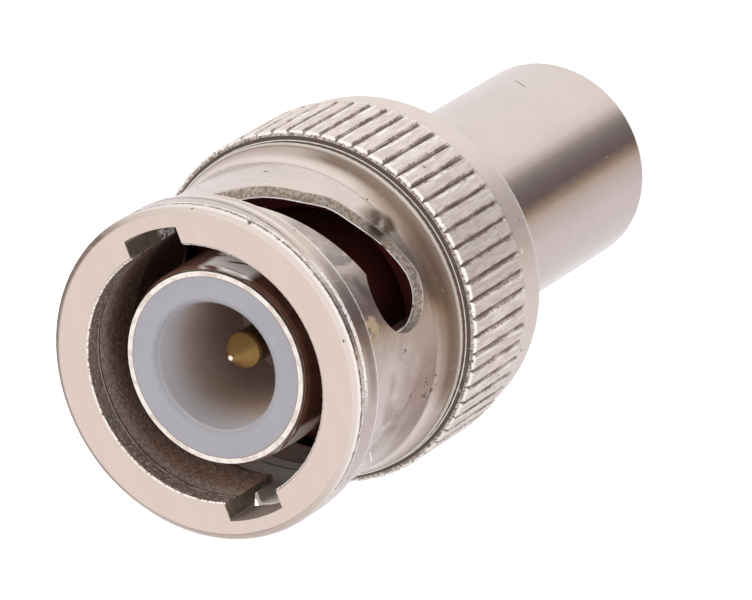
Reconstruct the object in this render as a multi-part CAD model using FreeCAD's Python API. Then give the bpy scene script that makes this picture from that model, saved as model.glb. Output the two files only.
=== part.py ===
import FreeCAD, Part
import math
import os

# BNC cable plug: a bayonet coupling nut turns and slides on a plug body that carries
# the contact sleeve, two insulators and the centre pin, with a crimp ferrule behind.
# Millimetres, +Z towards the mating end. The plug stands on the rear end of its
# ferrule, with its axis on Z. Most lengths are depths behind the nut's front face,
# because that is how the mating face of such a plug is drawn.

os.makedirs("parts", exist_ok=True)

# Overall length and the places along the axis, as depths behind the front face
overall_length = 27.3
sleeve_tip_depth = 0.84
gasket_depth = 8.2

# Coupling nut, outside
rim_radius = 6.37
rim_length = 1.55
rim_chamfer = 0.25
rim_back_round = 0.45
waist_radius = 6.1
flare_depth = 6.45
shoulder_radius = 6.5
shoulder_depth = 7.7
shoulder_land = 0.28
knurl_radius = 6.85
knurl_gutter = 0.12
knurl_chamfer = 0.1
knurl_groove = 0.16
knurl_teeth = 62
knurl_groove_angle = 65.0
knurl_run_out = 0.08
rear_rim_radius = 6.62
rear_rim_width = 1.87
rear_rim_round = 0.55

# Coupling nut, inside
mouth_radius = 4.9
mouth_lip = 0.9
land_relief = 0.06
mouth_break = 0.08
cavity_radius = 5.65
cavity_depth = 6.6
ring_groove_setback = 1.25
ring_groove_rise = 0.28

# Keyways and cam slots of the nut. Turns are degrees clockwise from the keyway,
# seen from the mating end.
keyway_width = 2.35
keyway_floor_radius = 5.59
slot_start_turn = 2.0
slot_start_depth = 1.45
slot_cam_rise = 2.15
slot_wall_lean = 0.6
cam_lip_radius = 5.2
cam_lip_depth = 3.45
cam_lip_rise = 1.0
detent_turn = 86.2
detent_radius = 1.665
detent_depth = 4.645
keyway_bearing = 90.0

# Rear edge of the slot in the skin, as (turn, depth) points on a smooth curve
slot_rear_line = [
    (2.0, 1.9), (12.0, 2.25), (17.5, 2.95), (24.0, 3.8), (31.0, 4.25), (39.0, 4.63),
    (47.0, 5.2), (58.0, 5.43), (71.0, 5.92), (84.0, 6.3),
]

# Contact sleeve with its flange
sleeve_radius = 3.84
sleeve_bore = 3.44
sleeve_tip_radius = 3.66
sleeve_tip_length = 0.3
flange_thickness = 1.0
flange_clearance = 0.08
press_spigot_radius = 3.8
press_spigot_length = 2.0
sleeve_step_bore = 2.9
sleeve_step_setback = 0.2

# Gasket
gasket_thickness = 1.2
gasket_radius = 5.3
gasket_bore_clearance = 0.05

# Journal, washers and retaining ring
journal_radius = 4.6
washer_bore_clearance = 0.1
washer_edge_clearance = 0.1
thrust_washer_thickness = 0.3
ring_thickness = 0.55
ring_side_clearance = 0.03
ring_gap = 30.0
spring_height = 2.08
spring_thickness = 0.28
spring_waves = 3
nut_travel = 1.2

# Body behind the nut, ferrule and stem
ferrule_setback = 0.9
body_shoulder_radius = 5.3
body_shoulder_gap = 0.05
body_shoulder_break = 0.3
body_bore = 2.25
ferrule_radius = 4.06
ferrule_wall = 0.37
ferrule_seat_length = 3.0
ferrule_edge = 0.16
stem_radius = 2.75
stem_bore = 2.45
stem_press_length = 4.0
stem_setback = 1.0
stem_ribs = 5
stem_rib_height = 0.12
stem_rib_pitch = 0.8

# Insulators
insulator_bore = 2.43
insulator_edge = 0.22
insulator_floor_thickness = 1.6
insulator_joint_setback = 1.8
rear_insulator_setback = 0.4

# Centre pin
pin_radius = 0.675
pin_setback = 1.1
pin_nib_radius = 0.13
pin_nib_length = 0.1
pin_cone_length = 0.85
pin_collar_radius = 1.3
pin_collar_length = 0.7
pin_shank_radius = 0.9
pin_tail_radius = 1.0
pin_tail_length = 4.5
pin_cup_radius = 0.6
pin_cup_length = 3.0
pin_window_width = 0.7
pin_hole_clearance = 0.01

# Places worked out from the sizes above
flange_depth = gasket_depth + gasket_thickness
flange_radius = cavity_radius - flange_clearance
journal_depth = flange_depth + flange_thickness
thrust_depth = journal_depth + spring_height
ring_depth = thrust_depth + thrust_washer_thickness
ring_groove_depth = ring_depth - ring_side_clearance
nut_length = ring_groove_depth + ring_groove_setback
knurl_depth = shoulder_depth + shoulder_land + knurl_gutter
knurl_end = nut_length - rear_rim_width
knurl_length = knurl_end - knurl_depth
ferrule_depth = nut_length + ferrule_setback
washer_bore = journal_radius + washer_bore_clearance
washer_radius = cavity_radius - washer_edge_clearance
ring_groove_radius = cavity_radius + ring_groove_rise
ring_groove_width = ring_thickness + 2 * ring_side_clearance
body_shoulder_depth = ring_depth + ring_thickness + body_shoulder_gap
ferrule_bore = ferrule_radius - ferrule_wall
pin_tip_depth = sleeve_tip_depth + pin_setback
sleeve_rear_depth = journal_depth + press_spigot_length
sleeve_step_depth = journal_depth - sleeve_step_setback
insulator_joint_depth = journal_depth - insulator_joint_setback
insulator_floor_depth = insulator_joint_depth - insulator_floor_thickness
rear_insulator_end = sleeve_rear_depth - rear_insulator_setback
pin_end_depth = insulator_joint_depth + pin_collar_length + pin_tail_length
full_turn = 360.0
overrun = 1.0


def height(depth):
    """Z of a place that lies this depth behind the front face."""
    return overall_length - depth


def turned(profile):
    """Solid of revolution from a closed outline of (radius, depth) points and arcs."""
    edges = []
    here = None
    start = None
    for step in profile:
        if len(step) == 2:
            there = FreeCAD.Vector(step[0], 0, height(step[1]))
            if here is not None and (there - here).Length > 1e-6:
                edges.append(Part.makeLine(here, there))
        else:
            there = FreeCAD.Vector(step[2], 0, height(step[3]))
            middle = FreeCAD.Vector(step[0], 0, height(step[1]))
            edges.append(Part.Arc(here, middle, there).toShape())
        if start is None:
            start = there
        here = there
    if (here - start).Length > 1e-6:
        edges.append(Part.makeLine(here, start))
    face = Part.Face(Part.Wire(edges))
    solid = face.revolve(FreeCAD.Vector(0, 0, 0), FreeCAD.Vector(0, 0, 1), full_turn)
    return solid


def ring(inner, outer, front, back):
    """Plain ring between two radii and two depths."""
    return turned([(inner, front), (outer, front), (outer, back), (inner, back)])


def disc(radius, front, back):
    """Plain round bar between two depths."""
    return Part.makeCylinder(radius, back - front, FreeCAD.Vector(0, 0, height(back)))


def box(x_size, y_size, front, back, x_centre=0.0, y_centre=0.0):
    """Rectangular block between two depths, centred on a place in plan."""
    corner = FreeCAD.Vector(x_centre - x_size / 2, y_centre - y_size / 2, height(back))
    return Part.makeBox(x_size, y_size, back - front, corner)


def spin(shape, degrees):
    """Copy of a shape turned about the plug's axis."""
    copy = shape.copy()
    copy.rotate(FreeCAD.Vector(0, 0, 0), FreeCAD.Vector(0, 0, 1), degrees)
    return copy


def quarter_round(radius_from, depth_from, radius_to, depth_to, bulge):
    """Arc step from one outline point to another, bulging out (1) or in (-1)."""
    middle_radius = (radius_from + radius_to) / 2
    middle_depth = (depth_from + depth_to) / 2
    run = depth_to - depth_from
    fall = radius_from - radius_to
    sagitta = 0.2071 * bulge
    return (middle_radius + sagitta * run, middle_depth + sagitta * fall, radius_to, depth_to)


# Coupling nut

def nut_blank():
    """Turned blank: rim, waist, flared shoulder, knurl band and rear rim, with the bore."""
    waist_start = rim_length + rim_back_round
    flare_run = shoulder_depth - flare_depth
    flare_rise = shoulder_radius - waist_radius
    flare_arc = (flare_run ** 2 + flare_rise ** 2) / (2 * flare_rise)
    flare_half = math.asin(flare_run / flare_arc) / 2
    flare_middle = (
        waist_radius + flare_arc * (1 - math.cos(flare_half)),
        flare_depth + flare_arc * math.sin(flare_half),
    )
    outline = [
        (mouth_radius + mouth_break, 0.0),
        (rim_radius - rim_chamfer, 0.0),
        (rim_radius, rim_chamfer),
        (rim_radius, rim_length),
        quarter_round(rim_radius, rim_length, waist_radius, waist_start, -1),
        (waist_radius, flare_depth),
        (flare_middle[0], flare_middle[1], shoulder_radius, shoulder_depth),
        (shoulder_radius, shoulder_depth + shoulder_land),
        (knurl_radius - knurl_chamfer, knurl_depth),
        (knurl_radius, knurl_depth + knurl_chamfer),
        (knurl_radius, knurl_end - knurl_chamfer),
        (rear_rim_radius, knurl_end),
        (rear_rim_radius, nut_length - rear_rim_round),
        quarter_round(rear_rim_radius, nut_length - rear_rim_round,
                      rear_rim_radius - rear_rim_round, nut_length, 1),
        (cavity_radius, nut_length),
        (cavity_radius, cavity_depth),
        (mouth_radius + land_relief, cavity_depth),
        (mouth_radius + land_relief, mouth_lip + land_relief),
        (mouth_radius, mouth_lip),
        (mouth_radius, mouth_break),
    ]
    groove = ring(cavity_radius - overrun, ring_groove_radius,
                  ring_groove_depth, ring_groove_depth + ring_groove_width)
    return turned(outline).cut(groove)


def knurl_cutter():
    """All V grooves of the straight knurl as one tool."""
    half = knurl_groove * math.tan(math.radians(knurl_groove_angle / 2))
    bottom = knurl_radius - knurl_groove
    above = knurl_groove * 0.5
    spread = half * (knurl_groove + above) / knurl_groove
    start = height(knurl_end + knurl_run_out)
    points = [
        FreeCAD.Vector(bottom, 0, start),
        FreeCAD.Vector(knurl_radius + above, -spread, start),
        FreeCAD.Vector(knurl_radius + above, spread, start),
        FreeCAD.Vector(bottom, 0, start),
    ]
    run = FreeCAD.Vector(0, 0, knurl_length + 2 * knurl_run_out)
    wedge = Part.Face(Part.makePolygon(points)).extrude(run)
    grooves = [spin(wedge, index * full_turn / knurl_teeth) for index in range(knurl_teeth)]
    return Part.makeCompound(grooves)


def slot_section(turn, front, back, lean, lip):
    """Cutter outline in the plane through the axis, at one turn from the keyway."""
    inner = mouth_radius - 0.3
    outer = knurl_radius + overrun
    skin = cavity_radius - 0.03
    corners = [
        (inner, lip),
        (cam_lip_radius, lip),
        (cam_lip_radius, front + lean),
        (skin, front + lean / 2),
        (waist_radius, front),
        (outer, front),
        (outer, back),
        (skin, back),
        (skin, cavity_depth + 0.1),
        (inner, cavity_depth + 0.1),
    ]
    bearing = math.radians(keyway_bearing - turn)
    points = []
    for radius, depth in corners:
        points.append(FreeCAD.Vector(radius * math.cos(bearing),
                                     radius * math.sin(bearing), height(depth)))
    points.append(points[0])
    return Part.makePolygon(points)


def rear_edge(turn):
    """Depth of the slot's rear edge in the skin, on a smooth curve through its points."""
    line = slot_rear_line
    last = len(line) - 1
    place = 0
    while place < last - 1 and turn > line[place + 1][0]:
        place += 1
    slopes = []
    for index in (place, place + 1):
        before = line[max(index - 1, 0)]
        after = line[min(index + 1, last)]
        slopes.append((after[1] - before[1]) / (after[0] - before[0]))
    span = line[place + 1][0] - line[place][0]
    share = min((turn - line[place][0]) / span, 1.0)
    rise = line[place + 1][1] - line[place][1]
    ease = share ** 2 * (3 - 2 * share)
    bow_in = share * (1 - share) ** 2 * span * slopes[0]
    bow_out = share ** 2 * (1 - share) * span * slopes[1]
    return line[place][1] + rise * ease + bow_in - bow_out


def cam_slot_cutters():
    """Ramp and detent of one cam slot, from the keyway to the round end."""
    per_degree = math.radians(1.0) * waist_radius
    half_keyway = math.degrees(math.asin(keyway_width / 2 / keyway_floor_radius))
    front_slope = slot_cam_rise / (detent_turn - half_keyway)
    lip_slope = cam_lip_rise / (detent_turn - half_keyway)

    def ramp_front(turn):
        return slot_start_depth + front_slope * max(turn - half_keyway, 0.0)

    def ramp_lip(turn):
        return cam_lip_depth + lip_slope * max(turn - half_keyway, 0.0)

    def pocket_half(turn):
        reach = (turn - detent_turn) * per_degree
        return math.sqrt(max(detent_radius ** 2 - reach ** 2, 0.0))

    # The ramp ends where it meets the round pocket, at the hump that holds the stud.
    hump = detent_turn
    while detent_depth - pocket_half(hump) < ramp_front(hump):
        hump -= 0.1

    ramp = []
    ramp_steps = 22
    for index in range(ramp_steps + 1):
        turn = slot_start_turn + (hump - slot_start_turn) * index / ramp_steps
        ramp.append(slot_section(turn, ramp_front(turn), rear_edge(turn),
                                 slot_wall_lean, ramp_lip(turn)))

    pocket = []
    pocket_steps = 12
    first = math.asin((hump - detent_turn) * per_degree / detent_radius)
    last = math.radians(86.0)
    fade_end = math.radians(100.0)
    lip_reach = ramp_lip(hump) - ramp_front(hump)
    for index in range(pocket_steps + 1):
        angle = first + (last - first) * index / pocket_steps
        turn = detent_turn + detent_radius * math.sin(angle) / per_degree
        front = detent_depth - detent_radius * math.cos(angle)
        back = detent_depth + detent_radius * math.cos(angle)
        if turn < detent_turn:
            back = rear_edge(turn)
        fade = (fade_end - angle) / (fade_end - first)
        pocket.append(slot_section(turn, front, back, slot_wall_lean * fade,
                                   front + lip_reach * fade))
    return [Part.makeLoft(ramp, True, True), Part.makeLoft(pocket, True, True)]


def keyway_cutter():
    """One keyway, from the front face down to the start of its slot."""
    slab = box(keyway_width, keyway_floor_radius, -overrun, cavity_depth + 0.1,
               0.0, keyway_floor_radius / 2)
    return slab.common(disc(keyway_floor_radius, -2 * overrun, cavity_depth + overrun))


def coupling_nut():
    nut = nut_blank().cut(knurl_cutter())
    for half_turn in (0.0, 180.0):
        nut = nut.cut(spin(keyway_cutter(), half_turn))
        for cutter in cam_slot_cutters():
            nut = nut.cut(spin(cutter, half_turn))
    return nut


# Contact sleeve, gasket and insulators

def outer_contact():
    """Plain sleeve, turned in one with the flange and the spigot pressed into the body."""
    tip_end = sleeve_tip_depth + sleeve_tip_length
    outline = [
        (sleeve_bore, sleeve_tip_depth),
        (sleeve_tip_radius, sleeve_tip_depth),
        (sleeve_radius - 0.04, tip_end),
        (sleeve_radius, tip_end + 1.5),
        (sleeve_radius, flange_depth),
        (flange_radius - 0.15, flange_depth),
        (flange_radius, flange_depth + 0.15),
        (flange_radius, journal_depth),
        (press_spigot_radius, journal_depth),
        (press_spigot_radius, sleeve_rear_depth),
        (sleeve_step_bore, sleeve_rear_depth),
        (sleeve_step_bore, sleeve_step_depth),
        (sleeve_bore, sleeve_step_depth),
    ]
    return turned(outline)


def seal_gasket():
    """Flat silicone ring in front of the flange, with rounded outer edges."""
    edge = gasket_thickness / 4
    bore = sleeve_radius + gasket_bore_clearance
    back = gasket_depth + gasket_thickness
    outline = [
        (bore, gasket_depth),
        (gasket_radius - edge, gasket_depth),
        quarter_round(gasket_radius - edge, gasket_depth, gasket_radius, gasket_depth + edge, 1),
        (gasket_radius, back - edge),
        quarter_round(gasket_radius, back - edge, gasket_radius - edge, back, 1),
        (bore, back),
    ]
    return turned(outline)


def front_insulator():
    """Tube flush with the sleeve's rim, with a floor that holds the pin on the axis."""
    hole = pin_shank_radius + pin_hole_clearance
    outline = [
        (insulator_bore + insulator_edge, sleeve_tip_depth),
        (sleeve_bore, sleeve_tip_depth),
        (sleeve_bore, insulator_joint_depth),
        (hole, insulator_joint_depth),
        (hole, insulator_floor_depth),
        (insulator_bore, insulator_floor_depth),
        (insulator_bore, sleeve_tip_depth + insulator_edge),
        quarter_round(insulator_bore, sleeve_tip_depth + insulator_edge,
                      insulator_bore + insulator_edge, sleeve_tip_depth, 1),
    ]
    return turned(outline)


def rear_insulator():
    """Stepped bead behind the front insulator, with a pocket for the pin's collar."""
    pocket = insulator_joint_depth + pin_collar_length
    outline = [
        (pin_collar_radius, insulator_joint_depth),
        (sleeve_bore, insulator_joint_depth),
        (sleeve_bore, sleeve_step_depth),
        (sleeve_step_bore, sleeve_step_depth),
        (sleeve_step_bore, rear_insulator_end),
        (pin_tail_radius, rear_insulator_end),
        (pin_tail_radius, pocket),
        (pin_collar_radius, pocket),
    ]
    return turned(outline)


def centre_pin():
    """Pointed contact with a captive collar and a cup with a solder window at the rear."""
    nib_end = pin_tip_depth + pin_nib_length
    cone_end = nib_end + pin_cone_length
    collar_end = insulator_joint_depth + pin_collar_length
    round_size = pin_nib_radius * 0.7
    outline = [
        (0.0, pin_tip_depth),
        (pin_nib_radius - round_size, pin_tip_depth),
        quarter_round(pin_nib_radius - round_size, pin_tip_depth,
                      pin_nib_radius, pin_tip_depth + round_size, 1),
        (pin_nib_radius, nib_end),
        (pin_radius, cone_end),
        (pin_radius, insulator_floor_depth),
        (pin_shank_radius, insulator_floor_depth),
        (pin_shank_radius, insulator_joint_depth),
        (pin_collar_radius, insulator_joint_depth),
        (pin_collar_radius, collar_end),
        (pin_tail_radius, collar_end),
        (pin_tail_radius, pin_end_depth),
        (pin_cup_radius, pin_end_depth),
        (pin_cup_radius, pin_end_depth - pin_cup_length),
        (0.0, pin_end_depth - pin_cup_length - pin_cup_radius),
    ]
    window = box(2 * pin_tail_radius, pin_window_width,
                 pin_end_depth - pin_cup_length, pin_end_depth - pin_cup_length + 1.2,
                 pin_tail_radius, 0.0)
    return turned(outline).cut(window)


# Body, washers and retaining ring

def plug_body():
    """Journal for the nut, rear shoulder, and the seats of the ferrule and the stem."""
    seat_end = ferrule_depth + ferrule_seat_length
    stem_seat = seat_end - stem_press_length
    outline = [
        (press_spigot_radius, journal_depth),
        (journal_radius, journal_depth),
        (journal_radius, body_shoulder_depth),
        (body_shoulder_radius, body_shoulder_depth),
        (body_shoulder_radius, ferrule_depth - body_shoulder_break),
        (body_shoulder_radius - body_shoulder_break, ferrule_depth),
        (ferrule_bore, ferrule_depth),
        (ferrule_bore, seat_end),
        (stem_radius, seat_end),
        (stem_radius, stem_seat),
        (body_bore, stem_seat),
        (body_bore, sleeve_rear_depth),
        (press_spigot_radius, sleeve_rear_depth),
    ]
    return turned(outline)


def thrust_washer():
    return ring(washer_bore, washer_radius, thrust_depth, ring_depth)


def retaining_ring():
    """Split ring that snaps into the nut's rear groove."""
    outer = ring_groove_radius - 0.04
    full = ring(washer_bore, outer, ring_depth, ring_depth + ring_thickness)
    reach = outer + overrun
    half = math.radians(ring_gap / 2)
    gap_points = [
        FreeCAD.Vector(0, 0, height(nut_length)),
        FreeCAD.Vector(reach / math.cos(half) * math.cos(-half),
                       reach / math.cos(half) * math.sin(-half), height(nut_length)),
        FreeCAD.Vector(reach / math.cos(half) * math.cos(half),
                       reach / math.cos(half) * math.sin(half), height(nut_length)),
        FreeCAD.Vector(0, 0, height(nut_length)),
    ]
    gap = Part.Face(Part.makePolygon(gap_points)).extrude(FreeCAD.Vector(0, 0, nut_length))
    return full.cut(gap)


def wave_washer():
    """Wavy spring ring between the flange and the thrust washer."""
    swing = (spring_height - spring_thickness) / 2
    middle = height((thrust_depth + journal_depth) / 2)
    steps = spring_waves * 12
    sides = {}
    for radius in (washer_bore, washer_radius):
        for side in (-0.5, 0.5):
            points = []
            for index in range(steps):
                angle = math.radians(full_turn) * index / steps
                level = middle + swing * math.cos(spring_waves * angle)
                points.append(FreeCAD.Vector(radius * math.cos(angle), radius * math.sin(angle),
                                             level + side * spring_thickness))
            curve = Part.BSplineCurve()
            curve.interpolate(points, PeriodicFlag=True)
            sides[(radius, side)] = curve.toShape()
    faces = [
        Part.makeRuledSurface(sides[(washer_bore, 0.5)], sides[(washer_radius, 0.5)]),
        Part.makeRuledSurface(sides[(washer_bore, -0.5)], sides[(washer_radius, -0.5)]),
        Part.makeRuledSurface(sides[(washer_bore, -0.5)], sides[(washer_bore, 0.5)]),
        Part.makeRuledSurface(sides[(washer_radius, -0.5)], sides[(washer_radius, 0.5)]),
    ]
    shell = Part.makeShell(faces)
    shell.sewShape()
    return Part.makeSolid(shell)


# Ferrule and stem

def crimp_ferrule():
    """Plain smooth barrel, open at the rear for the cable."""
    edge = ferrule_edge
    outline = [
        (ferrule_bore, ferrule_depth),
        (ferrule_radius - edge, ferrule_depth),
        (ferrule_radius, ferrule_depth + edge),
        (ferrule_radius, overall_length - edge),
        quarter_round(ferrule_radius, overall_length - edge,
                      ferrule_radius - edge, overall_length, 1),
        (ferrule_bore + edge, overall_length),
        (ferrule_bore, overall_length - edge),
    ]
    return turned(outline)


def crimp_stem():
    """Thin tube for the cable's braid, pressed into the body, with grip ribs."""
    start = ferrule_depth + ferrule_seat_length - stem_press_length
    end = overall_length - stem_setback
    outline = [(stem_bore, start), (stem_radius, start)]
    first_rib = end - 1.0 - (stem_ribs - 1) * stem_rib_pitch
    for index in range(stem_ribs):
        rib = first_rib + index * stem_rib_pitch
        outline.append((stem_radius, rib - stem_rib_pitch / 3))
        outline.append((stem_radius + stem_rib_height, rib - 0.1))
        outline.append((stem_radius + stem_rib_height, rib))
        outline.append((stem_radius, rib + 0.05))
    outline.append((stem_radius, end - 0.3))
    outline.append((stem_bore + 0.1, end))
    outline.append((stem_bore, end))
    return turned(outline)


pieces = {
    "coupling_nut": coupling_nut,
    "retaining_ring": retaining_ring,
    "thrust_washer": thrust_washer,
    "wave_washer": wave_washer,
    "plug_body": plug_body,
    "outer_contact": outer_contact,
    "seal_gasket": seal_gasket,
    "front_insulator": front_insulator,
    "rear_insulator": rear_insulator,
    "centre_pin": centre_pin,
    "crimp_ferrule": crimp_ferrule,
    "crimp_stem": crimp_stem,
}

for name, make in pieces.items():
    shape = make()
    if shape.ShapeType == "Compound" and len(shape.Solids) == 1:
        shape = shape.Solids[0]
    shape.exportStep("parts/" + name + ".step")
    print(name, shape.ShapeType, len(shape.Solids), shape.isValid(),
          round(shape.Volume, 3), len(shape.Faces))
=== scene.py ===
# %% [markdown]
# # Dressing a small bayonet connector
# The part arrives as twelve CAD solids: a turning nut with cam slots, a contact sleeve, two
# insulators, a gold pin, a gasket, washers and a crimp ferrule. Blender's work here is what
# plating, machining and casting leave on them. The frame is loaded first and never moved.

# %% Load the frame
import bpy
import math
from mathutils import Matrix, Vector


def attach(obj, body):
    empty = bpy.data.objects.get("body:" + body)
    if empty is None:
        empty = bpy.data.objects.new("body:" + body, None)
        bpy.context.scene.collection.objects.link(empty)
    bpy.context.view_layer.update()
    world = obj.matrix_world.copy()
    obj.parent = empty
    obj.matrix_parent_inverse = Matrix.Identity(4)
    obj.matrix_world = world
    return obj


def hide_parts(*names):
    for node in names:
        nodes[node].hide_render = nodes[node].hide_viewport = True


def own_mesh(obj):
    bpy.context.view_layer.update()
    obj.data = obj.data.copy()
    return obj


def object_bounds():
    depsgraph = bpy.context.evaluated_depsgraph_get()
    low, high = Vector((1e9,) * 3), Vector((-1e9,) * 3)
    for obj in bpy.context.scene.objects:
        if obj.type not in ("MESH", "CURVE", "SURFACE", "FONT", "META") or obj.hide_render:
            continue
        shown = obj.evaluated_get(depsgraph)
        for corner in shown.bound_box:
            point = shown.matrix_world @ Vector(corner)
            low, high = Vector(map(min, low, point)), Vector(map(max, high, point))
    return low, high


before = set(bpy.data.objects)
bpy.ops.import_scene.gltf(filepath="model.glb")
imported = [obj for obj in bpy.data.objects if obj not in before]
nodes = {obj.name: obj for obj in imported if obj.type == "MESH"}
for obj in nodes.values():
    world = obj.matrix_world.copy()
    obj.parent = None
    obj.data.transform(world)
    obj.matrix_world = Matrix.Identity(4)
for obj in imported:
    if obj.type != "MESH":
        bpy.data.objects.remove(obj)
cad_low, cad_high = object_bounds()
print("nodes", sorted(nodes))

# %% [markdown]
# Every place on a turned part is easiest to name as a depth behind the mating face, a radius in
# millimetres and a bearing in degrees. The CAD keeps the plug upright on its rear end, so one
# helper turns depths into heights. The same three numbers steer the materials further down.

# %% Places along the plug
MM = 0.001
MICROMETRE = 0.000001
FULL_TURN = 360.0
overall_length = round(cad_high[2] / MM, 3)


def height(depth):
    """Height in metres of a place this many millimetres behind the mating face."""
    return (overall_length - depth) * MM


print("mating face at", overall_length, "mm")

# %% [markdown]
# A long lens far away keeps the ellipses of the rims true, as in a product shot. The camera
# looks down on the mating face and is rolled, so that the plug's axis runs to the upper right.
# Its three directions are written out, because a rolled camera is awkward to name in angles.

# %% Camera
camera_data = bpy.data.cameras.new("camera")
camera_data.lens = 335.1
camera_data.sensor_width = 36
camera_data.clip_start = 0.01
camera_data.clip_end = 10
camera = bpy.data.objects.new("camera", camera_data)
bpy.context.scene.collection.objects.link(camera)
camera_right = Vector((0.80375372, -0.34948206, -0.4815))
camera_up = Vector((0.22452207, 0.9276247, -0.2985))
camera_back = camera_right.cross(camera_up)
camera_turn = Matrix((camera_right, camera_up, camera_back)).transposed()
camera_place = Matrix.Translation(Vector((0.14490883, 0.03365058, 0.23180714)))
camera.matrix_world = camera_place @ camera_turn.to_4x4()
bpy.context.scene.camera = camera
bpy.context.scene.view_settings.view_transform = "Standard"
print("camera looks down at", round(math.degrees(math.asin(camera_back.z)), 1), "degrees")

# %% [markdown]
# Node trees are written with one small class, because a tree in code is easier to read as
# arithmetic than as a list of links. Its methods add a node and take numbers or sockets alike for
# what goes into it.

# %% Node helpers


def label(word):
    """The name of a socket: an underscore in the word stands for a space."""
    return word.replace("_", " ").capitalize()


class NodeTree:
    """A node tree, with the few ways of adding a node to it."""

    def __init__(self, tree):
        self.tree = tree
        self.nodes = tree.nodes
        self.links = tree.links

    def fill(self, socket, value):
        """Links an output to a socket, or sets the socket's own value."""
        if isinstance(value, bpy.types.NodeSocket):
            self.links.new(value, socket)
        elif socket.type == "RGBA":
            socket.default_value = (*value[:3], 1.0)
        else:
            socket.default_value = value

    def put(self, kind, inputs=None, **settings):
        """Adds a node, sets its properties, and fills its sockets by name or number."""
        node = self.nodes.new(kind)
        for name, value in settings.items():
            setattr(node, name, value)
        for name, value in (inputs or {}).items():
            self.fill(node.inputs[name], value)
        return node

    def shape(self, kind, inputs=None, **settings):
        """One geometry node's first output."""
        return self.put("GeometryNode" + kind, inputs, **settings).outputs[0]

    def use(self, group, **inputs):
        """Places a group with its inputs set, and gives its outputs."""
        node = self.put("ShaderNodeGroup", node_tree=group.tree)
        for name, value in inputs.items():
            self.fill(node.inputs[label(name)], value)
        return node.outputs


print("node helpers ready")

# %% [markdown]
# The nodes that come up again and again get a method of their own, which gives back the socket
# that the next line needs. With these a mask or a colour is one line of sums.

# %% Sums, mixes and noise


class Tree(NodeTree):
    """A node tree with a method for each kind of node that is used often."""

    def maths(self, operation, *values, clamp=False):
        """One Math node's result."""
        return self.put("ShaderNodeMath", dict(enumerate(values)), operation=operation,
                        use_clamp=clamp).outputs[0]

    def vector(self, operation, *values):
        """One Vector Math node's vector result."""
        return self.put("ShaderNodeVectorMath", dict(enumerate(values)),
                        operation=operation).outputs[0]

    def shift(self, value, other, amount):
        """A value moved by a multiple of another, such as a depth made ragged by noise."""
        return self.maths("MULTIPLY_ADD", other, amount, value)

    def split(self, vector):
        """A vector's three numbers, as outputs X, Y and Z."""
        return self.put("ShaderNodeSeparateXYZ", {"Vector": vector}).outputs

    def join(self, x=0.0, y=0.0, z=0.0):
        """A vector made of three numbers."""
        return self.put("ShaderNodeCombineXYZ", {"X": x, "Y": y, "Z": z}).outputs[0]

    def stretch(self, point, scale, turn=(0.0, 0.0, 0.0)):
        """A point turned and scaled, so that noise over it runs along a direction."""
        return self.put("ShaderNodeMapping",
                        {"Vector": point, "Rotation": turn, "Scale": scale}).outputs[0]

    def millimetres(self, point):
        """A point with its three numbers in millimetres."""
        return self.vector("MULTIPLY", point, (1.0 / MM,) * 3)

    def blend(self, factor, first, second):
        """One colour Mix node's result."""
        return self.put("ShaderNodeMix", {0: factor, 6: first, 7: second},
                        data_type="RGBA").outputs[2]

    def mix(self, factor, first, second):
        """One number Mix node's result."""
        return self.put("ShaderNodeMix", {0: factor, 2: first, 3: second},
                        data_type="FLOAT").outputs[0]

    def step(self, value, low, high):
        """Smooth change from nought to one as a value goes from low to high."""
        return self.put("ShaderNodeMapRange", {0: value, 1: low, 2: high},
                        interpolation_type="SMOOTHSTEP").outputs[0]

    def noise(self, place, scale, detail=3.0, rough=0.55, distortion=0.0):
        """A noise texture's value, with the pattern scaled in the place's own unit."""
        return self.put("ShaderNodeTexNoise",
                        {"Vector": place, "Scale": scale, "Detail": detail, "Roughness": rough,
                         "Distortion": distortion}).outputs[0]

    def both(self, *masks):
        """Product of masks: where all of them hold."""
        result = masks[0]
        for mask in masks[1:]:
            result = self.maths("MULTIPLY", result, mask)
        return result


print("sums ready")

# %% [markdown]
# Polished metal is only as good as what it mirrors. The world is a light tent: white all over,
# with one soft dark gap that leaves the dark band down every turned surface. Only mirrored
# rays see the gap; plain surfaces are lit evenly and the camera sees white. The gap is a colour
# ramp over the bearing, because bearings are what a turned surface sorts its mirror image by.

# %% World and light tent
world = bpy.data.worlds.new("tent")
bpy.context.scene.world = world
world.use_nodes = True
tent = Tree(world.node_tree)
tent.nodes.clear()
tent_axes = tent.split(tent.put("ShaderNodeTexCoord").outputs["Generated"])
tent_bearing = tent.maths("ARCTAN2", tent_axes["Y"], tent_axes["X"])
tent_place = tent.maths("MULTIPLY_ADD", tent_bearing, 0.5 / math.pi, 0.5)
tent_stops = ((-180, (0.92, 0.9, 0.92)), (-140, (0.9, 0.9, 0.93)), (-110, (0.8, 0.79, 0.83)),
              (-66, (0.78, 0.76, 0.8)), (-45, (0.68, 0.66, 0.68)), (-32, (0.6, 0.55, 0.5)),
              (-25, (0.46, 0.36, 0.27)), (-21, (0.17, 0.14, 0.14)), (-8, (0.17, 0.145, 0.15)),
              (6, (0.24, 0.22, 0.23)), (16, (0.36, 0.34, 0.33)), (24, (0.64, 0.62, 0.62)),
              (33, (0.9, 0.9, 0.9)), (48, (0.98, 0.98, 0.98)), (95, (0.97, 0.98, 0.98)),
              (140, (0.93, 0.92, 0.94)), (180, (0.92, 0.9, 0.92)),)
tent_ramp = tent.put("ShaderNodeValToRGB", {"Fac": tent_place})
tent_ramp.color_ramp.interpolation = "EASE"
while len(tent_ramp.color_ramp.elements) < len(tent_stops):
    tent_ramp.color_ramp.elements.new(0.5)
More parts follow.
